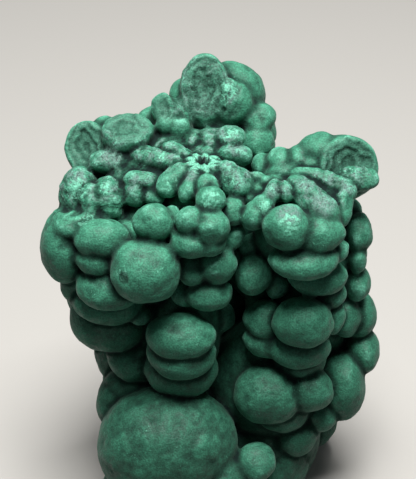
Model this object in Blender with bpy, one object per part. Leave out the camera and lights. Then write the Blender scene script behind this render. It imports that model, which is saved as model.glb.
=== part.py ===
"""Malachite specimen: a natural cluster of grape-like (botryoidal) stalactite columns grown together.

One solid body, in metres. X runs left to right, Y front to back, and Z up from the broken flat base.
The tables give each lobe in millimetres from the drip hole's own line, which is X = 0, Y = 0.
"""

import math
import random

import bmesh
import bpy
from mathutils import Matrix, Vector

MM = 0.001
SCALE = 1.0  # size of the whole specimen against the tables below
SHIFT_X = -2.6  # moves the cluster so that its box stands centred on the origin, mm
SHIFT_Y = -3.5
BASE_REACH = 60.0  # half the width of the block that cuts the base flat, mm
GRAIN = 0.9  # edge of the cells in which the lobes are grown together, mm
FACES_KEPT = 0.105  # share of the grown surface's faces kept
LOBE_DIVISIONS = 3  # how finely one lobe is drawn
TAPER = 0.25  # how much a finger narrows towards its first end and swells towards its second
TRIES = 260  # places tried for the lobes of one hidden flank
LARGEST = 1.45  # largest lobe of a flank against its usual size
SMALLEST = 0.55
FLATTEST = 0.75  # least height of a lobe of a flank against its width
CROWDING = 0.66  # nearest that two lobes of a flank stand, as a share of their radii together
WIDEST = 0.6  # how far up a flank it is widest, as a share of its height
NARROWING = 0.3  # how much its reach shrinks over its whole height
SUNK = 0.5  # how deep a lobe of a flank is set in, as a share of its radius
STONE_GREEN = (0.05, 0.22, 0.14, 1.0)
STONE_ROUGHNESS = 0.75

# Clear the scene.
for old in list(bpy.data.objects):
    bpy.data.objects.remove(old)


# The lobes. A row is a lobe's middle x, y, z and half its width, depth and height.

# The hearts of the columns, which the lobes grow on.
HEARTS = [
    (-1, 0, 60, 7.5, 7, 9),
    (-10, 1, 55, 9, 8.5, 12),
    (-17, 4, 53.5, 8, 8, 15),
    (3, 17, 46, 11, 10, 32),
    (16, -1, 60, 7, 7, 9),
    (17, 3, 42, 9, 7, 20),
    (23, 4, 42, 5.5, 7, 22),
    (22, 5, 61, 5, 5, 9),
    (18, 7, 63, 6, 4.5, 7),
    (12, 8, 52, 9, 7, 15),
    (-3, 0, 9, 17, 17, 15),
    (12, 0, 10, 12, 13, 15),
    (13, 0, 24, 12, 12, 14),
    (-10, 6, 35, 9, 9, 22),
    (-8, -1, 30, 8, 6, 16),
    (-6, 10, 59, 9, 7, 12),
    (-3, -3, 38, 6.5, 6, 12),
]

# The tall column at the back, which rises above the flower.
BACK_COLUMN = [
    (5.4, 20, 75.6, 6.4, 6.4, 6.6),
    (4.6, 15, 80, 1.9, 2, 1.9),
    (9.7, 15, 73.7, 3.7, 4, 3.3),
    (10, 12, 70.5, 3.4, 3.8, 3.4),
    (-3.5, 21, 75, 3, 4, 3.5),
    (-6.6, 9.9, 75.5, 1.9, 1.8, 1.8),
    (-4.3, 9.4, 75.1, 2.1, 1.8, 1.9),
    (-9.5, 15, 71.5, 3.4, 4, 4.5),
    (5, 7.6, 74.3, 2.8, 2.8, 1.9),
    (5.2, 15.2, 76.4, 4.2, 3.6, 4.8),
    (0.6, 15.6, 74.4, 4.2, 3.6, 5),
    (1.8, 8.5, 72.5, 3.2, 3.4, 2.6),
    (-2, 9, 72.8, 2, 2.4, 2),
    (-6, 8, 71, 4, 4, 3),
    (9, 21, 68, 5, 6, 5.5),
    (1, 23, 73, 5, 5.5, 7),
    (-5.4, 13, 74, 3.8, 4.2, 4.4),
]

# The two broken lobes at the left of the top.
LEFT_TOP = [
    (-10.5, 12, 70, 4, 4, 4),
    (-17.6, 11.8, 71.8, 3.4, 3.4, 3.8),
    (-17.5, 7.5, 66, 4.5, 5, 4.2),
    (-21, 4, 64.5, 3.6, 5, 4.6),
]

# The small lobes in front of the flower and the large one under them.
FLOWER_FRONT = [
    (-2.2, -10.6, 68.4, 2.6, 2.6, 2.5),
    (1.4, -10.7, 67.2, 3.4, 3.3, 3.3),
    (-2, -11.4, 64.3, 3.5, 3, 2.9),
    (1.2, -11, 64.2, 3, 2.7, 2.4),
    (-8.6, -9.2, 67, 3.6, 3.4, 3.4),
    (-5.5, -7, 65, 2, 3, 3.5),
    (5, -6.4, 67.4, 2.5, 2.5, 2.5),
    (5.5, -6, 62.5, 2.1, 3, 2.8),
    (2.3, -9.4, 58.5, 3.7, 3.6, 3.6),
    (-2, -9.4, 57.6, 3.3, 3.3, 3.2),
    (1.2, -10, 52.4, 4.1, 3.6, 3.1),
    (-3, -8, 51, 3, 3, 2.3),
    (-10, -13, 59.5, 6.3, 5.8, 5.8),
    (-12, -1.3, 68, 2.4, 2.6, 2.3),
    (-8.5, -2.3, 68, 1.9, 2, 1.7),
    (1.3, -7.6, 70.5, 2.6, 2.7, 2.6),
    (6, -2, 70.3, 3.1, 3, 3),
    (0, 0, 72.9, 3.6, 3.6, 1.2),
    (0, 0.8, 70.2, 5, 4.4, 2.6),
    (0.8, 5.2, 71.6, 4, 3, 2.1),
    (-8, 2, 69, 5, 3.6, 2.4),
    (-13.5, 2.4, 68.4, 4, 3.4, 2.6),
]

# The swollen left flank.
LEFT_CLUSTER = [
    (-22, 1.4, 65, 3.9, 5.4, 6),
    (-16.9, -1.2, 66.2, 3.1, 4.2, 4.8),
    (-19.6, -1.6, 65.4, 3.2, 4, 4.6),
    (-17.5, -9, 63.5, 4.9, 3.6, 3.5),
    (-21.5, -5.6, 64.3, 5.2, 3.4, 2.2),
    (-24.5, -4, 58.5, 4.8, 6, 7.2),
    (-20.5, -5, 62, 3.5, 4, 4),
    (-18.5, -9.6, 59.6, 4, 3.2, 3),
    (-16.5, -10, 53.9, 6, 5, 4),
    (-17, -5, 47.5, 7.2, 6, 4.6),
    (-17.5, -1, 40.5, 8, 8, 7),
    (-22.5, -3, 50, 4, 4, 5),
    (-13.5, -4.5, 60, 3.2, 3.6, 4.5),
]

# The front of the left column's foot, with the big dome that comes down to the base.
LEFT_FOOT = [
    (-4, -12.6, 44.8, 6.5, 4.9, 4),
    (-4, -11, 39.6, 6.3, 5.9, 4.9),
    (-4, -9, 33.8, 7.2, 5.9, 4.9),
    (-11.5, -7, 45, 2, 2.2, 2),
    (3.5, -2, 40.5, 2.6, 3, 3),
    (-7, -14, 19, 13.5, 11, 12),
    (-10, -18, 23, 5.5, 5, 5),
    (-2, -18, 23, 6, 5, 5),
    (-15, -14, 18, 5, 6, 6),
    (-9, -21, 14, 6.5, 4, 6),
    (3, -19, 14, 6, 4.5, 6),
    (10, -17, 17.5, 3.9, 4, 3.7),
    (-16, -5, 22, 5, 6, 6),
    (-13, -13, 6, 7, 7, 8),
    (-3, -18, 6, 8, 6, 7),
    (6, -16, 6, 7, 5, 7),
]

# The top of the right column, with its small side flower.
RIGHT_TOP = [
    (10.5, -7, 69, 2, 2.6, 2.4),
    (9.6, -1.2, 71.2, 1.3, 1.3, 1.2),
    (11, -2.3, 71, 1.2, 1.2, 1.1),
    (9.4, -2.9, 70, 1.4, 1.4, 1.3),
    (8.4, -3.8, 68.6, 1.5, 1.5, 1.5),
    (9, -8, 67.5, 2.3, 2.5, 2.8),
    (14.3, -11, 67.4, 4.2, 4, 4.1),
    (19.4, -10.2, 65.6, 5.2, 3.9, 3.4),
    (17.5, -11.5, 60.8, 6.2, 4.4, 3.3),
    (22.5, -8, 60.5, 3.4, 3, 2.4),
    (20.5, -7, 54, 5.6, 4.5, 3.2),
    (22.5, -6, 49.5, 3.8, 3.5, 2.8),
    (13.8, 4.2, 71.1, 2.5, 3, 2.6),
    (17.3, 4.2, 71.5, 2.6, 3, 2.6),
    (15.5, 1.8, 69.8, 4.6, 3.2, 2.7),
    (19, 3, 70, 3.6, 3.4, 3.2),
    (27, 1.3, 69.4, 4.5, 3, 2.3),
    (10.8, 5.4, 69.4, 2.2, 2.6, 2.4),
    (21, 6, 71.6, 4.4, 4, 4.2),
    (28.5, 2, 57, 2.6, 4, 4.2),
    (28.5, 0, 53, 1.8, 3, 3),
    (29, 0, 47, 2.5, 3.5, 3.5),
    (20, 0, 65.5, 5.5, 5, 4.5),
    (21.8, -2.4, 67.8, 3.6, 3.2, 2.8),
    (12.6, -1.6, 69.4, 2.6, 2.6, 2.2),
]

# The tiers of the right column, down to the base.
RIGHT_COLUMN = [
    (9, -6, 53.5, 3.3, 3.8, 3.7),
    (13.5, -4, 50.5, 2.4, 3.5, 3.2),
    (8.5, -2, 56.5, 2.3, 2.6, 2.5),
    (11.4, -6.6, 43.6, 4.1, 3.9, 3.6),
    (18, -11.3, 46.8, 5.6, 4.7, 4.6),
    (23.5, -6, 44, 3, 3.6, 3.7),
    (12, -7.4, 39.6, 4.6, 3.9, 3.3),
    (17.6, -9.4, 39.8, 5.8, 4.9, 4),
    (18, -7, 35, 5.2, 5, 4),
    (12.5, -10.4, 28.9, 6.6, 6, 6),
    (20, -10, 29.5, 4.6, 4.5, 4.6),
    (15, -8, 24, 6, 6, 5),
    (18, -8, 17, 4.6, 5, 5),
    (22.5, -7, 21, 4, 4, 3.8),
    (27, -4, 25, 4.6, 6, 7.4),
    (31, 0, 30.5, 3.5, 4.5, 4.6),
    (30, 2, 38, 3.4, 4.5, 5),
    (27, -1, 40, 3, 4, 4.2),
    (14, -7, 8, 7, 7, 9),
]

# A broken lobe is a ball, then a point of its broken face, the way that face looks, and how far the
# face is hollowed.
BROKEN_LOBES = [
    ((0.3, 17, 78.4), (4.7, 5.6, 7.2), (0.2, 13.8, 79.4), (-0.05, -0.85, 0.52), 0.7),
    ((-13.7, 8.6, 74.2), (4.7, 4.5, 4.2), (-13.7, 8, 76), (0, -0.2, 0.98), 0.4),
    ((-21.2, 8.5, 71.5), (4, 4.8, 5), (-21.4, 7.3, 72.7), (-0.12, -0.7, 0.7), 1.5),
    ((25.5, 4, 70), (6, 5.6, 6), (25.8, 1.4, 71.2), (0.3, -0.8, 0.52), 1.2),
    ((-7.3, 12.5, 77.3), (2.2, 2.8, 3), (-7.4, 10.8, 78.2), (-0.2, -0.8, 0.6), 0.2),
]

# A finger is the middles of its two round ends, then half its width and half its height.
# These lie round the drip hole like petals.
FLOWER_PETALS = [
    ((-4.6, 1.3, 72.4), (-10.8, 4.3, 72.2), 1.9, 2),
    ((-3, 2.8, 72.7), (-5.6, 4.9, 72.8), 1.8, 1.8),
    ((-15, 4.2, 71), (-17.9, 4.4, 70.9), 2.1, 2.1),
    ((-9.6, 2.5, 70.2), (-13, 4.6, 70.2), 2.2, 2.1),
    ((-9, -0.6, 69.8), (-11.9, -0.3, 69.9), 1.8, 1.8),
    ((-3.2, -0.5, 72), (-5.6, -2.4, 70.6), 2.3, 2.3),
    ((-1.3, -2.2, 71.9), (-2.6, -4.8, 70.3), 1.65, 1.9),
    ((0.7, -3.4, 71.8), (1.1, -6.3, 70.2), 2.1, 2.4),
    ((3.4, -0.5, 72), (5.8, -2.4, 70.6), 2.6, 2.6),
    ((3.8, 4, 72.7), (6.8, 3.9, 72.5), 1.8, 1.9),
]

# These lie on the right column's top.
RIGHT_PETALS = [
    ((12.8, -3.4, 70.7), (12.1, -5.2, 70.4), 1.6, 1.9),
    ((14.1, -3.6, 70.7), (14.3, -5.2, 70.4), 1.3, 1.8),
    ((16.4, -2.8, 70.4), (20.7, -7.2, 68.2), 2.7, 2.8),
    ((16.2, -0.4, 71), (20.4, -0.9, 71), 1.7, 1.7),
    ((20.4, -0.9, 70.9), (25, -2.7, 69.5), 1.9, 1.9),
    ((24.6, -3.6, 69), (24, -6.3, 66.6), 1.9, 2),
]


def place(x, y, z):
    """A point of the tables in metres, in the frame of the whole specimen."""
    return Vector((x + SHIFT_X, y + SHIFT_Y, z)) * MM * SCALE


def lobe(body, middle, halves):
    """Adds one closed rounded lobe and returns its vertices."""
    size = Matrix.Diagonal((*[half * MM * SCALE for half in halves], 1.0))
    matrix = Matrix.Translation(place(*middle)) @ size
    made = bmesh.ops.create_icosphere(body, subdivisions=LOBE_DIVISIONS, radius=1.0, matrix=matrix)
    return made["verts"]


def finger(body, start, end, half_width, half_height):
    """Adds a long lobe with round ends that swells towards its second end."""
    along = place(*end) - place(*start)
    turn = along.to_track_quat("X", "Z").to_matrix()
    middle = (place(*start) + place(*end)) / 2
    quarter = along.length / 4
    made = bmesh.ops.create_icosphere(body, subdivisions=LOBE_DIVISIONS, radius=1.0)
    for vert in made["verts"]:
        x, y, z = vert.co
        swell = (1 + TAPER * x) * MM * SCALE
        straight = math.copysign(quarter, x)
        local_x = straight + x * (quarter + half_width * swell)
        local = Vector((local_x, y * half_width * swell, z * half_height * swell))
        vert.co = middle + turn @ local


def broken_lobe(body, middle, halves, face, looks, hollow):
    """Adds a lobe whose cap is broken off along a face that is hollowed a little towards its middle."""
    point = place(*face)
    outward = Vector(looks).normalized()
    for vert in lobe(body, middle, halves):
        beyond = (vert.co - point).dot(outward)
        if beyond > 0:
            flat = vert.co - outward * beyond
            spread = (flat - point).length / (min(halves) * MM * SCALE)
            vert.co = flat - outward * hollow * MM * SCALE * max(0.0, 1 - spread * spread) ** 2


def flank(body, centre, reach, bearings, heights, size, seed):
    """Covers a hidden side of a column with lobes, the large ones first and small ones in the gaps."""
    chance = random.Random(seed)
    grown = []
    for attempt in range(TRIES):
        half = size * (LARGEST - (LARGEST - SMALLEST) * attempt / TRIES)
        bearing = math.radians(chance.uniform(*bearings))
        height = chance.uniform(*heights)
        share_up = (height - heights[0]) / (heights[1] - heights[0])
        out = reach * (1 - NARROWING * abs(share_up - WIDEST)) - SUNK * half
        middle = Vector((centre[0] + out * math.cos(bearing), centre[1] + out * math.sin(bearing), height))
        if all((middle - other).length > CROWDING * (half + other_half) for other, other_half in grown):
            grown.append((middle, half))
            lobe(body, middle, (half, half, half * chance.uniform(FLATTEST, 1.0)))


body = bmesh.new()
for table in (HEARTS, BACK_COLUMN, LEFT_TOP, FLOWER_FRONT):
    for x, y, z, *halves in table:
        lobe(body, (x, y, z), halves)
for table in (LEFT_CLUSTER, LEFT_FOOT, RIGHT_TOP, RIGHT_COLUMN):
    for x, y, z, *halves in table:
        lobe(body, (x, y, z), halves)
for start, end, half_width, half_height in FLOWER_PETALS + RIGHT_PETALS:
    finger(body, start, end, half_width, half_height)

for middle, halves, face, looks, hollow in BROKEN_LOBES:
    broken_lobe(body, middle, halves, face, looks, hollow)

# The back and the sides that face away from the flowers.
flank(body, (3, 17), 12.5, (15, 180), (4, 66), 4.6, 1)
flank(body, (12, 9), 10.8, (-15, 80), (28, 61), 3.4, 6)
flank(body, (-15, 4), 10.2, (75, 205), (30, 62), 4.0, 2)
flank(body, (22, 4), 7.8, (0, 150), (40, 58), 3.6, 3)
flank(body, (14, 3), 13, (-10, 110), (4, 36), 4.4, 4)
flank(body, (-5, 3), 14, (80, 230), (4, 34), 4.6, 5)

stone = bpy.data.materials.new("malachite")
stone.use_nodes = True
surface = stone.node_tree.nodes["Principled BSDF"]
surface.inputs["Base Color"].default_value = STONE_GREEN
surface.inputs["Roughness"].default_value = STONE_ROUGHNESS
surface.inputs["Metallic"].default_value = 0.0

mesh = bpy.data.meshes.new("malachite_specimen")
body.to_mesh(mesh)
body.free()
mesh.materials.append(stone)
specimen = bpy.data.objects.new("malachite_specimen", mesh)
bpy.context.scene.collection.objects.link(specimen)
grown = specimen.modifiers.new("grown_together", "REMESH")
grown.mode = "VOXEL"
grown.voxel_size = GRAIN * MM * SCALE
grown.use_smooth_shade = True
thinned = specimen.modifiers.new("thinned", "DECIMATE")
thinned.ratio = FACES_KEPT

# The broken base: a block takes away all that is below it.
block = bpy.data.meshes.new("base_cutter")
below = bmesh.new()
bmesh.ops.create_cube(below, size=2 * BASE_REACH * MM, matrix=Matrix.Translation((0, 0, -BASE_REACH * MM)))
below.to_mesh(block)
below.free()
cutter = bpy.data.objects.new("base_cutter", block)
cutter.hide_render = True
cutter.display_type = "WIRE"
bpy.context.scene.collection.objects.link(cutter)
cut = specimen.modifiers.new("broken_base", "BOOLEAN")
cut.object = cutter
cut.operation = "DIFFERENCE"
cut.solver = "EXACT"
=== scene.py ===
"""A malachite specimen: grape-like columns grown together, with petalled tops and a velvety skin."""

import math
import random

import bmesh
import bpy
import numpy as np
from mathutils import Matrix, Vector, noise


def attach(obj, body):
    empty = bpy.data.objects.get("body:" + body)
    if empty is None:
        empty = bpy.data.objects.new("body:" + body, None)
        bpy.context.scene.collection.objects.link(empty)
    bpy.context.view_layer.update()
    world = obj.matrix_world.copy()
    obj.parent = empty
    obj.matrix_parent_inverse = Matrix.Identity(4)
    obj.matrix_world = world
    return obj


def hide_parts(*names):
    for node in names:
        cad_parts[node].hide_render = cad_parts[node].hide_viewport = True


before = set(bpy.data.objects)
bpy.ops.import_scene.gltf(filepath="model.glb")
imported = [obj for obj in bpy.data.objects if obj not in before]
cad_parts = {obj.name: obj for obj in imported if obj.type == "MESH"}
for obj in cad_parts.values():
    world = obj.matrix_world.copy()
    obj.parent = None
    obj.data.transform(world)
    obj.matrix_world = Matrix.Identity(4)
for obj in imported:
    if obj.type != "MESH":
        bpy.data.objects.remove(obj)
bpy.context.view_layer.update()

# ---- The hearts of the columns.
# The solid stone that every lobe grows on, from the broken foot up to the tops of the columns.
# Sizes here are in millimetres from the drip hole's own upright line; place() turns them into metres.

MM = 0.001
SHIFT_X = -2.6  # the hole stands a little to the left of the specimen's middle, and in front of it
SHIFT_Y = -3.5
FINE_LOBE = 3.2  # a lobe with a larger half-size is drawn one step finer, and is nearer to a true ball
BROAD_LOBE = 9.0  # and one with a larger half-size than this is drawn one step finer again
KNOBBLY = 0.09  # how far a lobe strays from a true ball, as a share of its size
BROAD_SWELLS = 1.1  # waves of unevenness over a lobe's radius, broad ones and small ones
SMALL_SWELLS = 2.7
LOBE_VARIETY = 0.37  # makes each lobe and each petal uneven in its own way
PETAL_VARIETY = 0.53

growth = bmesh.new()


def place(x, y, z):
    """A point in metres, in the frame of the whole specimen."""
    return Vector((x + SHIFT_X, y + SHIFT_Y, z)) * MM


def uneven(direction, seed, size):
    """How far a lobe swells or sinks in one direction. A large lobe is rounder than a small one."""
    broad = noise.noise(direction * BROAD_SWELLS + seed)
    small = noise.noise(direction * SMALL_SWELLS - seed)
    return 1 + KNOBBLY * min(1.0, FINE_LOBE / size) * (1.6 * broad + 0.6 * small)


def new_ball(size):
    """The vertices of a ball of radius 1, drawn finer for a larger lobe."""
    divisions = 3 + (size > FINE_LOBE) + (size > BROAD_LOBE)
    return bmesh.ops.create_icosphere(growth, subdivisions=divisions, radius=1.0)["verts"]


def lobe(middle, halves):
    """Grows one closed rounded lobe and returns its vertices."""
    centre = place(*middle)
    seed = Vector(middle) * LOBE_VARIETY
    verts = new_ball(max(halves))
    for vert in verts:
        swell = uneven(vert.co, seed, max(halves)) * MM
        vert.co = centre + Vector([along * half * swell for along, half in zip(vert.co, halves)])
    return verts


def lobes_of(table):
    """Grows a lobe for each row: the x, y and z of its middle, then half its width, depth and height."""
    for x, y, z, *halves in table:
        lobe((x, y, z), halves)


hearts = [
    (-1, 0, 60, 7.5, 7, 9),
    (-10, 1, 55, 9, 8.5, 12),
    (-17, 4, 53.5, 8, 8, 15),
    (3, 17, 46, 11, 10, 32),
    (16, -1, 60, 7, 7, 9),
    (17, 3, 42, 9, 7, 20),
    (23, 4, 42, 5.5, 7, 22),
    (22, 5, 61, 5, 5, 9),
    (18, 7, 63, 6, 4.5, 7),
    (12, 8, 52, 9, 7, 15),
    (-3, 0, 9, 17, 17, 15),
    (12, 0, 10, 12, 13, 15),
    (13, 0, 24, 12, 12, 14),
    (-10, 6, 35, 9, 9, 22),
    (-8, -1, 30, 8, 6, 16),
    (-6, 10, 59, 9, 7, 12),
    (-3, -3, 38, 6.5, 6, 12),
]
lobes_of(hearts)

# ---- The tall column at the back.
# It rises about a centimetre above the flower. Its crown is one large round lobe beside one that has
# lost its front, with smaller lobes stepping down to the flower.

back_column = [
    (5.4, 20, 75.6, 6.4, 6.4, 6.6),
    (4.6, 15, 80, 1.9, 2, 1.9),
    (9.7, 15, 73.7, 3.7, 4, 3.3),
    (10, 12, 70.5, 3.4, 3.8, 3.4),
    (-3.5, 21, 75, 3, 4, 3.5),
    (-6.6, 9.9, 75.5, 1.9, 1.8, 1.8),
    (-4.3, 9.4, 75.1, 2.1, 1.8, 1.9),
    (-9.5, 15, 71.5, 3.4, 4, 4.5),
    (5, 7.6, 74.3, 2.8, 2.8, 1.9),
    (5.2, 15.2, 76.4, 4.2, 3.6, 4.8),
    (0.6, 15.6, 74.4, 4.2, 3.6, 5),
    (1.8, 8.5, 72.5, 3.2, 3.4, 2.6),
    (-2, 9, 72.8, 2, 2.4, 2),
    (-6, 8, 71, 4, 4, 3),
    (9, 21, 68, 5, 6, 5.5),
    (1, 23, 73, 5, 5.5, 7),
    (-5.4, 13, 74, 3.8, 4.2, 4.4),
]
lobes_of(back_column)

# ---- The left shoulder.
# Rounded lobes under the two broken ones at the left of the top.

left_shoulder = [
    (-10.5, 12, 70, 4, 4, 4),
    (-17.6, 11.8, 71.8, 3.4, 3.4, 3.8),
    (-17.5, 7.5, 66, 4.5, 5, 4.2),
    (-21, 4, 64.5, 3.6, 5, 4.6),
]
lobes_of(left_shoulder)

# ---- The broken lobes.
# Lobes whose caps came off, which leaves a face with the rings of the stone's growth round its middle.
# Each is a ball, a point of its face, the way the face looks, and how far the face is hollowed.

broken_lobes = [
    ((0.3, 17, 78.4), (4.7, 5.6, 7.2), (0.2, 13.8, 79.4), (-0.05, -0.85, 0.52), 0.7),
    ((-13.7, 8.6, 74.2), (4.7, 4.5, 4.2), (-13.7, 8, 76), (0, -0.2, 0.98), 0.4),
    ((-21.2, 8.5, 71.5), (4, 4.8, 5), (-21.4, 7.3, 72.7), (-0.12, -0.7, 0.7), 1.5),
    ((25.5, 4, 70), (6, 5.6, 6), (25.8, 1.4, 71.2), (0.3, -0.8, 0.52), 1.2),
    ((-7.3, 12.5, 77.3), (2.2, 2.8, 3), (-7.4, 10.8, 78.2), (-0.2, -0.8, 0.6), 0.2),
]


def broken_lobe(middle, halves, face, looks, hollow):
    """Grows a lobe whose cap is off along a face that is hollowed towards its middle."""
    point = place(*face)
    outward = Vector(looks).normalized()
    reach = min(halves) * MM
    for vert in lobe(middle, halves):
        beyond = (vert.co - point).dot(outward)
        if beyond > 0:
            flat = vert.co - outward * beyond
            spread = (flat - point).length / reach
            vert.co = flat - outward * hollow * MM * max(0.0, 1 - spread * spread) ** 2


for middle, halves, face, looks, hollow in broken_lobes:
    broken_lobe(middle, halves, face, looks, hollow)

# ---- The flower.
# Water dripping from one hole in the middle column's top laid down plump lobes round it like petals.
# A petal is the middles of its two round ends, and half its width and half its height.

TAPER = 0.25  # how much a petal narrows towards the hole and swells away from it

flower_petals = [
    ((-4.6, 1.3, 72.4), (-10.8, 4.3, 72.2), 1.9, 2),
    ((-3, 2.8, 72.7), (-5.6, 4.9, 72.8), 1.8, 1.8),
    ((-15, 4.2, 71), (-17.9, 4.4, 70.9), 2.1, 2.1),
    ((-9.6, 2.5, 70.2), (-13, 4.6, 70.2), 2.2, 2.1),
    ((-9, -0.6, 69.8), (-11.9, -0.3, 69.9), 1.8, 1.8),
    ((-3.2, -0.5, 72), (-5.6, -2.4, 70.6), 2.3, 2.3),
    ((-1.3, -2.2, 71.9), (-2.6, -4.8, 70.3), 1.65, 1.9),
    ((0.7, -3.4, 71.8), (1.1, -6.3, 70.2), 2.1, 2.4),
    ((3.4, -0.5, 72), (5.8, -2.4, 70.6), 2.6, 2.6),
    ((3.8, 4, 72.7), (6.8, 3.9, 72.5), 1.8, 1.9),
]


def petal(start, end, half_width, half_height):
    """Grows a long lobe with round ends that swells towards its second end."""
    along = place(*end) - place(*start)
    turn = along.to_track_quat("X", "Z").to_matrix()
    middle = (place(*start) + place(*end)) / 2
    quarter = along.length / 4
    seed = Vector(start) * PETAL_VARIETY
    for vert in new_ball(FINE_LOBE + half_width):
        x, y, z = vert.co
        swell = (1 + TAPER * x) * uneven(vert.co, seed, half_width) * MM
        straight = math.copysign(quarter, x)
        local_x = straight + x * (quarter + half_width * swell)
        vert.co = middle + turn @ Vector((local_x, y * half_width * swell, z * half_height * swell))


for start, end, half_width, half_height in flower_petals:
    petal(start, end, half_width, half_height)

# ---- The lobes under the flower.
# Small lobes hang under the petals in front, above the largest lobe of this column.

flower_front = [
    (-2.2, -10.6, 68.4, 2.6, 2.6, 2.5),
    (1.4, -10.7, 67.2, 3.4, 3.3, 3.3),
    (-2, -11.4, 64.3, 3.5, 3, 2.9),
    (1.2, -11, 64.2, 3, 2.7, 2.4),
    (-8.6, -9.2, 67, 3.6, 3.4, 3.4),
    (-5.5, -7, 65, 2, 3, 3.5),
    (5, -6.4, 67.4, 2.5, 2.5, 2.5),
    (5.5, -6, 62.5, 2.1, 3, 2.8),
    (2.3, -9.4, 58.5, 3.7, 3.6, 3.6),
    (-2, -9.4, 57.6, 3.3, 3.3, 3.2),
    (1.2, -10, 52.4, 4.1, 3.6, 3.1),
    (-3, -8, 51, 3, 3, 2.3),
    (-10, -13, 59.5, 6.3, 5.8, 5.8),
    (-12, -1.3, 68, 2.4, 2.6, 2.3),
    (-8.5, -2.3, 68, 1.9, 2, 1.7),
    (1.3, -7.6, 70.5, 2.6, 2.7, 2.6),
    (6, -2, 70.3, 3.1, 3, 3),
    (0, 0, 72.9, 3.6, 3.6, 1.2),
    (0, 0.8, 70.2, 5, 4.4, 2.6),
    (0.8, 5.2, 71.6, 4, 3, 2.1),
    (-8, 2, 69, 5, 3.6, 2.4),
    (-13.5, 2.4, 68.4, 4, 3.4, 2.6),
]
lobes_of(flower_front)

# ---- The left flank.
# Swollen lobes that overhang the foot in crescents, each tier under the last.

left_flank = [
    (-22, 1.4, 65, 3.9, 5.4, 6),
    (-16.9, -1.2, 66.2, 3.1, 4.2, 4.8),
    (-19.6, -1.6, 65.4, 3.2, 4, 4.6),
    (-17.5, -9, 63.5, 4.9, 3.6, 3.5),
    (-21.5, -5.6, 64.3, 5.2, 3.4, 2.2),
    (-24.5, -4, 58.5, 4.8, 6, 7.2),
    (-20.5, -5, 62, 3.5, 4, 4),
    (-18.5, -9.6, 59.6, 4, 3.2, 3),
    (-16.5, -10, 53.9, 6, 5, 4),
    (-17, -5, 47.5, 7.2, 6, 4.6),
    (-17.5, -1, 40.5, 8, 8, 7),
    (-22.5, -3, 50, 4, 4, 5),
    (-13.5, -4.5, 60, 3.2, 3.6, 4.5),
]
lobes_of(left_flank)

# ---- The left foot.
# Two tiers in the shade of the flank, then one broad dome that comes down to the base.

left_foot = [
    (-4, -12.6, 44.8, 6.5, 4.9, 4),
    (-4, -11, 39.6, 6.3, 5.9, 4.9),
    (-4, -9, 33.8, 7.2, 5.9, 4.9),
    (-11.5, -7, 45, 2, 2.2, 2),
    (3.5, -2, 40.5, 2.6, 3, 3),
    (-7, -14, 19, 13.5, 11, 12),
    (-10, -18, 23, 5.5, 5, 5),
    (-2, -18, 23, 6, 5, 5),
    (-15, -14, 18, 5, 6, 6),
    (-9, -21, 14, 6.5, 4, 6),
    (3, -19, 14, 6, 4.5, 6),
    (10, -17, 17.5, 3.9, 4, 3.7),
    (-16, -5, 22, 5, 6, 6),
    (-13, -13, 6, 7, 7, 8),
    (-3, -18, 6, 8, 6, 7),
    (6, -16, 6, 7, 5, 7),
]
lobes_of(left_foot)

# ---- The top of the right column.
# A smaller, lopsided flower: two short petals, a long one, and a ridge that runs out to the broken lobe.

right_petals = [
    ((12.8, -3.4, 70.7), (12.1, -5.2, 70.4), 1.6, 1.9),
    ((14.1, -3.6, 70.7), (14.3, -5.2, 70.4), 1.3, 1.8),
    ((16.4, -2.8, 70.4), (20.7, -7.2, 68.2), 2.7, 2.8),
    ((16.2, -0.4, 71), (20.4, -0.9, 71), 1.7, 1.7),
    ((20.4, -0.9, 70.9), (25, -2.7, 69.5), 1.9, 1.9),
    ((24.6, -3.6, 69), (24, -6.3, 66.6), 1.9, 2),
]
for start, end, half_width, half_height in right_petals:
    petal(start, end, half_width, half_height)

right_top = [
    (10.5, -7, 69, 2, 2.6, 2.4),
    (9.6, -1.2, 71.2, 1.3, 1.3, 1.2),
    (11, -2.3, 71, 1.2, 1.2, 1.1),
    (9.4, -2.9, 70, 1.4, 1.4, 1.3),
    (8.4, -3.8, 68.6, 1.5, 1.5, 1.5),
    (9, -8, 67.5, 2.3, 2.5, 2.8),
    (14.3, -11, 67.4, 4.2, 4, 4.1),
    (19.4, -10.2, 65.6, 5.2, 3.9, 3.4),
    (17.5, -11.5, 60.8, 6.2, 4.4, 3.3),
    (22.5, -8, 60.5, 3.4, 3, 2.4),
    (20.5, -7, 54, 5.6, 4.5, 3.2),
    (22.5, -6, 49.5, 3.8, 3.5, 2.8),
    (13.8, 4.2, 71.1, 2.5, 3, 2.6),
    (17.3, 4.2, 71.5, 2.6, 3, 2.6),
    (15.5, 1.8, 69.8, 4.6, 3.2, 2.7),
    (19, 3, 70, 3.6, 3.4, 3.2),
    (27, 1.3, 69.4, 4.5, 3, 2.3),
    (10.8, 5.4, 69.4, 2.2, 2.6, 2.4),
    (21, 6, 71.6, 4.4, 4, 4.2),
    (28.5, 2, 57, 2.6, 4, 4.2),
    (28.5, 0, 53, 1.8, 3, 3),
    (29, 0, 47, 2.5, 3.5, 3.5),
    (20, 0, 65.5, 5.5, 5, 4.5),
    (21.8, -2.4, 67.8, 3.6, 3.2, 2.8),
    (12.6, -1.6, 69.4, 2.6, 2.6, 2.2),
]
lobes_of(right_top)

# ---- The tiers of the right column.
# Broad lobes in pairs, split from the left column by a deep cleft.

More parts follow.
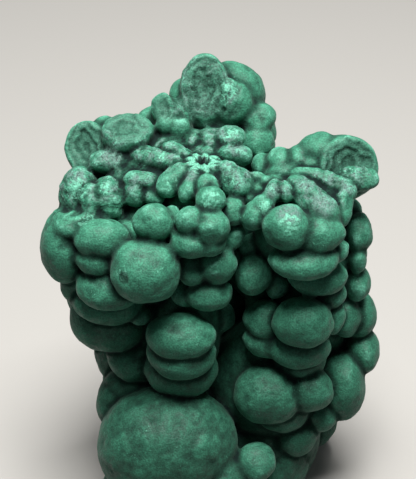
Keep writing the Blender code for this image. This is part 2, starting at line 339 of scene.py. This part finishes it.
right_column = [
    (9, -6, 53.5, 3.3, 3.8, 3.7),
    (13.5, -4, 50.5, 2.4, 3.5, 3.2),
    (8.5, -2, 56.5, 2.3, 2.6, 2.5),
    (11.4, -6.6, 43.6, 4.1, 3.9, 3.6),
    (18, -11.3, 46.8, 5.6, 4.7, 4.6),
    (23.5, -6, 44, 3, 3.6, 3.7),
    (12, -7.4, 39.6, 4.6, 3.9, 3.3),
    (17.6, -9.4, 39.8, 5.8, 4.9, 4),
    (18, -7, 35, 5.2, 5, 4),
    (12.5, -10.4, 28.9, 6.6, 6, 6),
    (20, -10, 29.5, 4.6, 4.5, 4.6),
    (15, -8, 24, 6, 6, 5),
    (18, -8, 17, 4.6, 5, 5),
    (22.5, -7, 21, 4, 4, 3.8),
    (27, -4, 25, 4.6, 6, 7.4),
    (31, 0, 30.5, 3.5, 4.5, 4.6),
    (30, 2, 38, 3.4, 4.5, 5),
    (27, -1, 40, 3, 4, 4.2),
    (14, -7, 8, 7, 7, 9),
]
lobes_of(right_column)

# ---- The back and the far sides.
# More lobes of the same kind, the large ones first and small ones in the gaps between them.

TRIES = 260
LARGEST = 1.45
SMALLEST = 0.55
FLATTEST = 0.75  # least height of a lobe against its width
CROWDING = 0.66  # nearest that two lobes stand, as a share of their radii together
WIDEST = 0.6  # how far up a side it is widest, as a share of its height
NARROWING = 0.3  # how much its reach shrinks over its whole height
SUNK = 0.5  # how deep a lobe is set in, as a share of its radius


def flank(centre, reach, bearings, heights, size, seed):
    """Covers one side of a column with lobes, between two bearings and two heights."""
    chance = random.Random(seed)
    grown = []
    for attempt in range(TRIES):
        half = size * (LARGEST - (LARGEST - SMALLEST) * attempt / TRIES)
        bearing = math.radians(chance.uniform(*bearings))
        height = chance.uniform(*heights)
        share_up = (height - heights[0]) / (heights[1] - heights[0])
        out = reach * (1 - NARROWING * abs(share_up - WIDEST)) - SUNK * half
        middle = Vector((centre[0] + out * math.cos(bearing), centre[1] + out * math.sin(bearing), height))
        if all((middle - other).length > CROWDING * (half + other_half) for other, other_half in grown):
            grown.append((middle, half))
            lobe(middle, (half, half, half * chance.uniform(FLATTEST, 1.0)))


flank((3, 17), 12.5, (15, 180), (4, 66), 4.6, 1)
flank((12, 9), 10.8, (-15, 80), (28, 61), 3.4, 6)
flank((-15, 4), 10.2, (75, 205), (30, 62), 4.0, 2)
flank((22, 4), 7.8, (0, 150), (40, 58), 3.6, 3)
flank((14, 3), 13, (-10, 110), (4, 36), 4.4, 4)
flank((-5, 3), 14, (80, 230), (4, 34), 4.6, 5)

# ---- Growing together.
# All the lobes become one skin with sharp creases where they meet. The foot is broken off flat.

GRAIN = 0.36  # edge of the cells in which the lobes are joined, mm
CREASE_STEPS = round(2.4 / GRAIN**2)  # smoothing steps that show a crease between two lobes
CLEFT_STEPS = round(15 / GRAIN**2)  # and a cleft between two columns

lobes_mesh = bpy.data.meshes.new("lobes")
growth.to_mesh(lobes_mesh)
growth.free()
lobes = bpy.data.objects.new("lobes", lobes_mesh)
bpy.context.scene.collection.objects.link(lobes)
joined = lobes.modifiers.new("grown_together", "REMESH")
joined.mode = "VOXEL"
joined.voxel_size = GRAIN * MM
evaluated = lobes.evaluated_get(bpy.context.evaluated_depsgraph_get())
skin = bpy.data.meshes.new_from_object(evaluated)
bpy.data.objects.remove(lobes)


def points_of(mesh):
    """The mesh's vertices as one array, in millimetres."""
    flat = np.empty(len(mesh.vertices) * 3)
    mesh.vertices.foreach_get("co", flat)
    return flat.reshape(-1, 3) / MM


def outward_of(mesh):
    """The way that each vertex faces."""
    flat = np.empty(len(mesh.vertices) * 3, np.float32)
    mesh.vertex_normals.foreach_get("vector", flat)
    return flat.reshape(-1, 3).astype(float)


edges = np.empty(len(skin.edges) * 2, np.int64)
skin.edges.foreach_get("vertices", edges)
edge_from, edge_to = edges.reshape(-1, 2).T
neighbours = np.bincount(edges, minlength=len(skin.vertices))


def eased(values, steps):
    """Values at the vertices, each averaged with its neighbours a number of times."""
    for _ in range(steps):
        if values.ndim == 1:
            around = np.bincount(edge_from, values[edge_to], len(values))
            around += np.bincount(edge_to, values[edge_from], len(values))
            values = 0.5 * values + 0.5 * around / neighbours
        else:
            values = np.stack([eased(column, 1) for column in values.T], axis=1)
    return values


def write_points(mesh, places):
    """Moves the mesh's vertices to places given in millimetres."""
    mesh.vertices.foreach_set("co", (places * MM).astype(np.float32).reshape(-1))
    mesh.update()


points = points_of(skin)


def near(patches):
    """How deep each vertex is inside the nearest of some round patches, from 0 at the rim to 1."""
    share = np.zeros(len(points))
    for x, y, z, radius in patches:
        middle = np.array(place(x, y, z)) / MM
        share = np.maximum(share, 1 - np.linalg.norm(points - middle, axis=1) / radius)
    return share


# The creases are a little rounded, as each new layer of stone bridged them, but not between the small
# lobes of the two flowers.
ROUNDING_STEPS = round(0.6 / GRAIN**2)
flowers = [(1, -1, 71, 11), (-10, 2, 71, 9), (-18, 2, 71, 6), (13, -5, 70, 6), (20, -3, 70, 7)]
crisp = np.clip(near(flowers) * 3, 0, 1)[:, None]
points = points * crisp + eased(points, ROUNDING_STEPS) * (1 - crisp)
write_points(skin, points)
outward = outward_of(skin)


vectors = [Vector(point) for point in points]


def noise_at(fineness, seed=0.0):
    """Smooth noise at every vertex, between about -1 and 1; fineness is waves to the millimetre."""
    offset = Vector((seed, seed, seed))
    return np.array([noise.noise(vector * fineness + offset) for vector in vectors])


# The patches below are round: the x, y and z of the middle, then the radius.
# Where the tops are weathered: rough, pitted and dusted grey.
weathered_tops = [
    (1, 4, 74, 9),
    (-8, 3, 73, 7),
    (-17, 4, 72, 6),
    (-22, -1, 70, 6),
    (-16.6, -2, 70, 4),
    (-12, -4, 70, 4),
    (0, 14, 80, 8),
    (5, -2, 72, 5),
    (13, -5, 71, 4),
    (21, -5, 71, 6),
    (26, 0, 72, 6),
]
# Where the mint-green crystals lie thick.
mint_spots = [
    (14, -1.2, 72.6, 1.8),
    (-22.5, -2.5, 70, 2.8),
    (-20.5, -7, 66, 2),
    (-17, -3.5, 70.5, 1.8),
    (5, 6, 76.3, 1.8),
    (4.6, 13.4, 81, 2.4),
    (1.4, -9, 71.5, 2.2),
    (6, -5, 73, 1.7),
    (10.6, -9, 70, 1.6),
    (14.5, -13.8, 70, 2.4),
    (-8.4, -5, 70.2, 1.4),
    (-5.8, -4.6, 72.2, 2),
    (-7, 2, 74.4, 1.6),
    (-14.2, -17, 61.8, 1.8),
]
# Where grey dust lies on the crowns of single lobes.
dusty_spots = [
    (-16.4, 3.4, 73, 2.8),
    (-22.6, -1, 71, 1.6),
    (-2, -3.4, 72.6, 1.6),
    (6.4, 3, 74.2, 1.8),
    (12.2, -6.4, 72, 1.8),
    (14.3, -6.4, 72, 1.6),
    (14.6, -12.4, 71.4, 2.8),
    (20.8, -8.4, 70.6, 2.8),
    (18, -5, 72.6, 2),
    (25.6, 1, 75, 3),
    (0, 11.6, 79, 3.4),
]
# The side of the left shoulder, ribbed by the layers of its growth.
ribbed_sides = [(-22, -2, 65, 7), (-16.6, -4, 67, 5)]
# The foot's dome and the largest lobes, which swell in low bumps.
bumpy_sides = [(-7, -20, 17, 22), (-10, -13, 59.5, 8), (14, -10, 28, 12)]
# Chips knocked out of the lobes in front.
chips = [(-13.6, -17.4, 61, 1.3), (-9.2, -11.8, 69.4, 0.5), (2, -12.8, 59.6, 0.55)]
CHIP_DEPTH = 0.2  # as a share of the chip's radius

broad_noise = noise_at(0.33, 5.0)
lump_noise = noise_at(0.6, 11.0)
fine_noise = noise_at(1.3)
pit_noise = np.abs(noise_at(1.8, 3.0))
faces_up = np.clip(outward[:, 2] * 1.6 + 0.35, 0, 1)
worn = np.clip(near(weathered_tops) * 2.2 + 0.5 * broad_noise, 0, 1) * faces_up
mint = np.clip(near(mint_spots) * 1.6, 0, 0.85) * (outward[:, 2] > 0.0)
ribbed = np.clip(near(ribbed_sides) * 2.5, 0, 1)
bumpy = np.clip(near(bumpy_sides) * 2.5, 0, 1)

# The faces of the broken lobes. Each face cuts through the shells that the lobe grew in, and steps
# from one shell to the next.
SHELL = 1.5  # thickness of one shell, mm
SHELL_EDGE = 0.7  # where the step to the next shell starts, as a share of a shell
FACE_SKIN = 0.5  # how quickly the face gives way to the round side of the lobe, mm
FACE_RIM = 0.8  # width of the band where it fades out at its rim, mm
FACING = 0.55  # how nearly the skin has to look the same way as the face
face_share = np.zeros(len(points))
shells = np.zeros(len(points))
for middle, halves, face, looks, hollow in broken_lobes:
    core = np.array(place(*middle)) / MM
    point = np.array(place(*face)) / MM
    way = np.array(Vector(looks).normalized())
    off = points - point
    height = off @ way
    spread = np.linalg.norm(off - np.outer(height, way), axis=1)
    depth = hollow * np.clip(1 - (spread / min(halves)) ** 2, 0, 1) ** 2
    share = np.clip(1.6 - np.abs(height + depth) / FACE_SKIN, 0, 1)
    share *= np.clip((max(halves) * 1.02 - spread) / FACE_RIM, 0, 1)
    here = (share > face_share) & (outward @ way > FACING)
    face_share[here] = share[here]
    shells[here] = (np.linalg.norm((points[here] - core) / halves, axis=1) * np.mean(halves)) / SHELL
shells += 0.9 * broad_noise + 0.35 * lump_noise + 0.15 * fine_noise
within_shell = shells - np.floor(shells)
step_up = np.clip((within_shell - SHELL_EDGE) / 0.2, 0, 1) - within_shell

# How far the skin stands out at each vertex, mm: unevenness all over, pits where it is weathered, low
# bumps on the dome, ribs on the shoulder, steps on the broken faces, and the chips.
RIB = 0.95  # from one rib to the next, mm
relief = 0.12 * broad_noise + 0.07 * lump_noise + 0.04 * fine_noise
relief += worn * (0.18 * noise_at(0.8, 9.0) - 0.22 * pit_noise)
relief += bumpy * 0.25 * noise_at(0.24, 21.0)
ribs = np.sin((points[:, 2] + 1.3 * lump_noise) * 2 * math.pi / RIB)
relief += ribbed * (0.07 * ribs + 0.16 * lump_noise)
relief += face_share * (0.3 * step_up + 0.14 * noise_at(0.45, 7.0) + 0.08 * fine_noise)
for x, y, z, radius in chips:
    away = np.linalg.norm(points - np.array(place(x, y, z)) / MM, axis=1) / radius
    relief -= CHIP_DEPTH * radius * np.clip((1 - away) * 3, 0, 1)
shaped = points + outward * relief[:, None]

# The drip hole, and the low ridges round it in solid mint green.
HOLE_RADIUS = 1.2
HOLE_DEPTH = 3.0
DISC_RADIUS = 3.6
RIDGES = 9
RIDGE_HEIGHT = 0.35
hole = np.array(place(0, 0, 74)) / MM
across = points[:, :2] - hole[:2]
from_hole = np.linalg.norm(across, axis=1)
bearing = np.arctan2(across[:, 1], across[:, 0])
on_top = points[:, 2] > hole[2] - 2.5
ring = np.clip(1 - np.abs(from_hole / DISC_RADIUS - 0.6) * 2.2, 0, 1)
ridges = np.cos(bearing * RIDGES + 1.5 * broad_noise) * ring
shaped[:, 2] += on_top * RIDGE_HEIGHT * ridges
mint = np.maximum(mint, on_top * np.clip((DISC_RADIUS + 0.5 * lump_noise - from_hole) * 1.2, 0, 1))
sunk = on_top & (from_hole < HOLE_RADIUS)
shaped[sunk, 2] -= HOLE_DEPTH * np.sqrt(1 - (from_hole[sunk] / HOLE_RADIUS) ** 2)

# The foot, broken off flat.
shaped[:, 2] = np.maximum(shaped[:, 2], 0.0)
write_points(skin, shaped)

# How far each vertex lies inside a crease between lobes, or inside a cleft between columns. The material
# paints shade from both.
faces_now = outward_of(skin)
nearby = eased(shaped, CREASE_STEPS)
crease = ((nearby - shaped) * faces_now).sum(axis=1)
cleft = ((eased(nearby, CLEFT_STEPS) - shaped) * faces_now).sum(axis=1)


def note(mesh, name, values):
    """Keeps one number for each vertex, for the material to read."""
    layer = mesh.attributes.new(name, "FLOAT", "POINT")
    layer.data.foreach_set("value", values.astype(np.float32))


DEEP_CREASE = 0.22  # depth at which a crease, and a cleft, count in full, mm
DEEP_CLEFT = 1.6
note(skin, "crease", np.clip(crease / DEEP_CREASE, -1, 1) * (1 - 0.6 * face_share))
note(skin, "crisp", crisp[:, 0])
note(skin, "cleft", np.clip(cleft / DEEP_CLEFT, -1, 1))
note(skin, "worn", worn)
note(skin, "mint", mint)
note(skin, "dust", np.clip(near(dusty_spots) * 2.2, 0, 1) * faces_up)
note(skin, "face", face_share)
note(skin, "shells", shells)
# The drip hole, which the material fills with painted shade.
note(skin, "hole", np.clip((1.3 - from_hole / HOLE_RADIUS) / 0.3, 0, 1) * on_top)

specimen = bpy.data.objects.new("malachite", skin)
bpy.context.scene.collection.objects.link(specimen)
skin.shade_smooth()
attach(specimen, "root")
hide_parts("malachite_specimen")

# ---- The malachite.
# Fine velvety crystals: deep green, with grey-green dust on the weathered tops and bright mint flecks.
# Painted shade makes the creases near black and the foot darker, and painted light makes the crowns paler.

DEEP_GREEN = (0.012, 0.058, 0.038, 1)
GREEN = (0.03, 0.15, 0.09, 1)
# A paler tone that lies in clouds, and also the colour of the painted light on the crowns of the lobes.
PALE_AND_LIT_GREEN = (0.05, 0.24, 0.145, 1)
# Near black, for the painted shade in the creases, clefts and drip hole.
PAINTED_SHADE_BLACK = (0.001, 0.006, 0.006, 1)
DUST_GREY = (0.11, 0.2, 0.17, 1)
MINT = (0.14, 0.46, 0.31, 1)
SHELL_PALE = (0.09, 0.28, 0.19, 1)
SHELL_DARK = (0.055, 0.18, 0.12, 1)
EDGE_PALE = (0.14, 0.45, 0.31, 1)


def new_node(tree, kind, inputs, **settings):
    """Adds a node. An input given as another node's socket is linked, and any other is set."""
    made = tree.nodes.new(kind)
    for name, value in settings.items():
        setattr(made, name, value)
    for key, value in inputs.items():
        if isinstance(value, bpy.types.NodeSocket):
            tree.links.new(value, made.inputs[key])
        else:
            made.inputs[key].default_value = value
    return made


def grained(tree, where, fineness, detail=3.0):
    """Noise from 0 to 1 with a number of waves to the millimetre."""
    made = new_node(tree, "ShaderNodeTexNoise", {"Vector": where, "Scale": fineness, "Detail": detail})
    return made.outputs[0]


def stepped(tree, value, low, high, least=0.0, most=1.0):
    """A value carried smoothly from one range to another."""
    inputs = {0: value, 1: low, 2: high, 3: least, 4: most}
    return new_node(tree, "ShaderNodeMapRange", inputs, interpolation_type="SMOOTHSTEP").outputs[0]


def mixed(tree, share, first, second):
    """One colour over another."""
    return new_node(tree, "ShaderNodeMix", {0: share, 6: first, 7: second}, data_type="RGBA").outputs[2]


def worked(tree, how, first, second):
    """Arithmetic on two values."""
    return new_node(tree, "ShaderNodeMath", {0: first, 1: second}, operation=how).outputs[0]


def noted(tree, name):
    """One of the numbers kept at the vertices."""
    return new_node(tree, "ShaderNodeAttribute", {}, attribute_name=name).outputs["Fac"]


stone = bpy.data.materials.new("malachite")
stone.use_nodes = True
tree = stone.node_tree
tree.nodes.clear()
coords = tree.nodes.new("ShaderNodeTexCoord").outputs["Object"]
where = new_node(tree, "ShaderNodeVectorMath", {0: coords, 3: 1 / MM}, operation="SCALE").outputs[0]
crease_value = noted(tree, "crease")
cleft_value = noted(tree, "cleft")
worn_value = noted(tree, "worn")
mint_value = noted(tree, "mint")
face_value = noted(tree, "face")

cloudy = grained(tree, where, 0.16)
mottled = grained(tree, where, 0.7, 4.0)
fleck_noise = grained(tree, where, 2.1, 2.0)
sandy = grained(tree, where, 3.4, 3.0)

colour = mixed(tree, stepped(tree, mottled, 0.3, 0.7, 0.35, 1.0), DEEP_GREEN, GREEN)
colour = mixed(tree, stepped(tree, cloudy, 0.35, 0.75, 0.0, 0.3), colour, PALE_AND_LIT_GREEN)
# Painted light: the lobes are paler in patches where they bulge out most, as if lit on their crowns.
painted_crown_light = stepped(tree, crease_value, 0.0, -0.5)
painted_crown_light = worked(tree, "MULTIPLY", painted_crown_light, stepped(tree, mottled, 0.35, 0.65, 0.6, 0.9))
colour = mixed(tree, painted_crown_light, colour, PALE_AND_LIT_GREEN)
dusty = stepped(tree, worn_value, 0.15, 0.9)
dusty = worked(tree, "MULTIPLY", dusty, stepped(tree, mottled, 0.42, 0.62, 0.0, 0.9))
dusty = worked(tree, "MULTIPLY", dusty, stepped(tree, crease_value, 0.25, -0.3))
dusty_crown = noted(tree, "dust")
dusty_crown = worked(tree, "MULTIPLY", dusty_crown, stepped(tree, fleck_noise, 0.35, 0.6, 0.35, 0.95))
colour = mixed(tree, worked(tree, "MAXIMUM", dusty, dusty_crown), colour, DUST_GREY)

# The shells of growth show as pale and dark rings on the broken faces.
shell_wave = worked(tree, "SINE", worked(tree, "MULTIPLY", noted(tree, "shells"), 2 * math.pi), 0.0)
shell_colour = mixed(tree, stepped(tree, shell_wave, -0.9, 0.9), SHELL_DARK, SHELL_PALE)
shell_share = worked(tree, "MULTIPLY", face_value, stepped(tree, cloudy, 0.3, 0.6, 0.3, 0.75))
colour = mixed(tree, shell_share, colour, shell_colour)

# The sharpest edges are paler.
edge = stepped(tree, crease_value, -0.45, -1.0)
edge = worked(tree, "MULTIPLY", edge, stepped(tree, mottled, 0.4, 0.6, 0.1, 0.8))
colour = mixed(tree, edge, colour, EDGE_PALE)

# Mint flecks lie in clusters, and run together where the crystals are thick.
clusters = grained(tree, where, 0.28)
fleck_cut = stepped(tree, worn_value, 0.0, 1.0, 0.69, 0.63)
fleck_cut = worked(tree, "SUBTRACT", fleck_cut, stepped(tree, clusters, 0.45, 0.75, -0.06, 0.08))
fleck_cut = worked(tree, "SUBTRACT", fleck_cut, worked(tree, "MULTIPLY", mint_value, 0.2))
flecks = stepped(tree, worked(tree, "SUBTRACT", fleck_noise, fleck_cut), 0.0, 0.08, 0.0, 0.75)
colour = mixed(tree, flecks, colour, MINT)
blots = stepped(tree, grained(tree, where, 1.0, 1.0), 0.5, 0.62)
minted = worked(tree, "MULTIPLY", stepped(tree, mint_value, 0.15, 0.5), blots)
minted = worked(tree, "MAXIMUM", minted, stepped(tree, mint_value, 0.9, 1.0, 0.0, 0.85))
colour = mixed(tree, minted, colour, MINT)

# A sugary grain all over, with painted shade that halves it in the creases, and dark specks of grime
# where the top is weathered.
grain_and_painted_shade = stepped(tree, sandy, 0.3, 0.7, 0.68, 1.26)
grain_and_painted_shade = worked(tree, "MULTIPLY", grain_and_painted_shade, stepped(tree, crease_value, 0.35, -0.35, 0.5, 1.0))
specks = stepped(tree, grained(tree, where, 2.6, 3.0), 0.34, 0.5, 0.55, 1.05)
specks = mixed(tree, stepped(tree, worn_value, 0.1, 0.8), (1, 1, 1, 1), specks)
grain_and_painted_shade = worked(tree, "MULTIPLY", grain_and_painted_shade, specks)
# Painted shade: the stone is darker towards its foot.
height_up = new_node(tree, "ShaderNodeSeparateXYZ", {0: where}).outputs["Z"]
grain_and_painted_shade = worked(tree, "MULTIPLY", grain_and_painted_shade, stepped(tree, height_up, 5.0, 60.0, 0.62, 1.0))
colour = new_node(tree, "ShaderNodeVectorMath", {0: colour, 3: grain_and_painted_shade}, operation="SCALE").outputs[0]

# Painted shade: creases, clefts and the drip hole are near black.
crease_painted_shade = worked(tree, "ADD", crease_value, worked(tree, "MULTIPLY", noted(tree, "crisp"), 0.12))
painted_shade = stepped(tree, crease_painted_shade, 0.2, 1.0, 0.0, 0.9)
painted_shade = worked(tree, "MAXIMUM", painted_shade, stepped(tree, cleft_value, 0.15, 0.9, 0.0, 0.85))
painted_shade = worked(tree, "MAXIMUM", painted_shade, noted(tree, "hole"))
colour = mixed(tree, painted_shade, colour, PAINTED_SHADE_BLACK)

bumps = worked(tree, "ADD", worked(tree, "MULTIPLY", mottled, 0.5), worked(tree, "MULTIPLY", sandy, 0.35))
bumps = worked(tree, "ADD", bumps, worked(tree, "MULTIPLY", fleck_noise, 0.4))
bump = new_node(tree, "ShaderNodeBump", {"Height": bumps, "Strength": 0.55, "Distance": 0.4 * MM})

# The crowns have a faint shine and the creases none.
dullness = stepped(tree, mottled, 0.3, 0.7, 0.52, 0.72)
dullness = worked(tree, "MAXIMUM", dullness, stepped(tree, crease_value, -0.2, 0.3, 0.5, 1.0))
velvet = new_node(
    tree,
    "ShaderNodeBsdfPrincipled",
    {
        "Base Color": colour,
        "Normal": bump.outputs[0],
        "Roughness": dullness,
        "Specular IOR Level": 0.3,
        "Sheen Weight": 0.08,
        "Sheen Roughness": 0.45,
        "Sheen Tint": (0.6, 0.9, 0.75, 1),
    },
)
skin_output = tree.nodes.new("ShaderNodeOutputMaterial")
tree.links.new(velvet.outputs[0], skin_output.inputs[0])
skin.materials.append(stone)

# ---- The table, the light and the camera.
# A plain pale table top under one large soft lamp, seen from the front and above.

table_mesh = bpy.data.meshes.new("table")
table_top = bmesh.new()
bmesh.ops.create_grid(table_top, x_segments=1, y_segments=1, size=3.0)
table_top.to_mesh(table_mesh)
table_top.free()
table = bpy.data.objects.new("table", table_mesh)
bpy.context.scene.collection.objects.link(table)
table.visible_diffuse = False  # its glow would wash out the shaded side of the stone
paper = bpy.data.materials.new("table")
paper.use_nodes = True
paper.node_tree.nodes["Principled BSDF"].inputs["Base Color"].default_value = (0.46, 0.443, 0.412, 1)
table_mesh.materials.append(paper)

scene = bpy.context.scene
scene.view_settings.view_transform = "Standard"
lamp_data = bpy.data.lights.new("softbox", "AREA")
lamp_data.energy = 6.9
lamp_data.size = 0.3
lamp = bpy.data.objects.new("softbox", lamp_data)
lamp.location = (0.02, -0.05, 0.6)
lamp.rotation_euler = lamp.location.to_track_quat("Z", "Y").to_euler()
scene.collection.objects.link(lamp)
world = bpy.data.worlds.new("room")
world.use_nodes = True
world.node_tree.nodes["Background"].inputs["Strength"].default_value = 0.1
world.node_tree.nodes["Background"].inputs["Color"].default_value = (0.9, 0.95, 1.0, 1)
scene.world = world

LOOKS_DOWN = 35.0  # degrees
camera_data = bpy.data.cameras.new("camera")
camera_data.lens = 94.5
camera_data.sensor_width = 36.0
camera_data.clip_start = 0.01
camera = bpy.data.objects.new("camera", camera_data)
camera.location = place(0.9, -188.2, 188.8)
camera.rotation_euler = (math.radians(90 - LOOKS_DOWN), 0, 0)
scene.collection.objects.link(camera)
scene.camera = camera
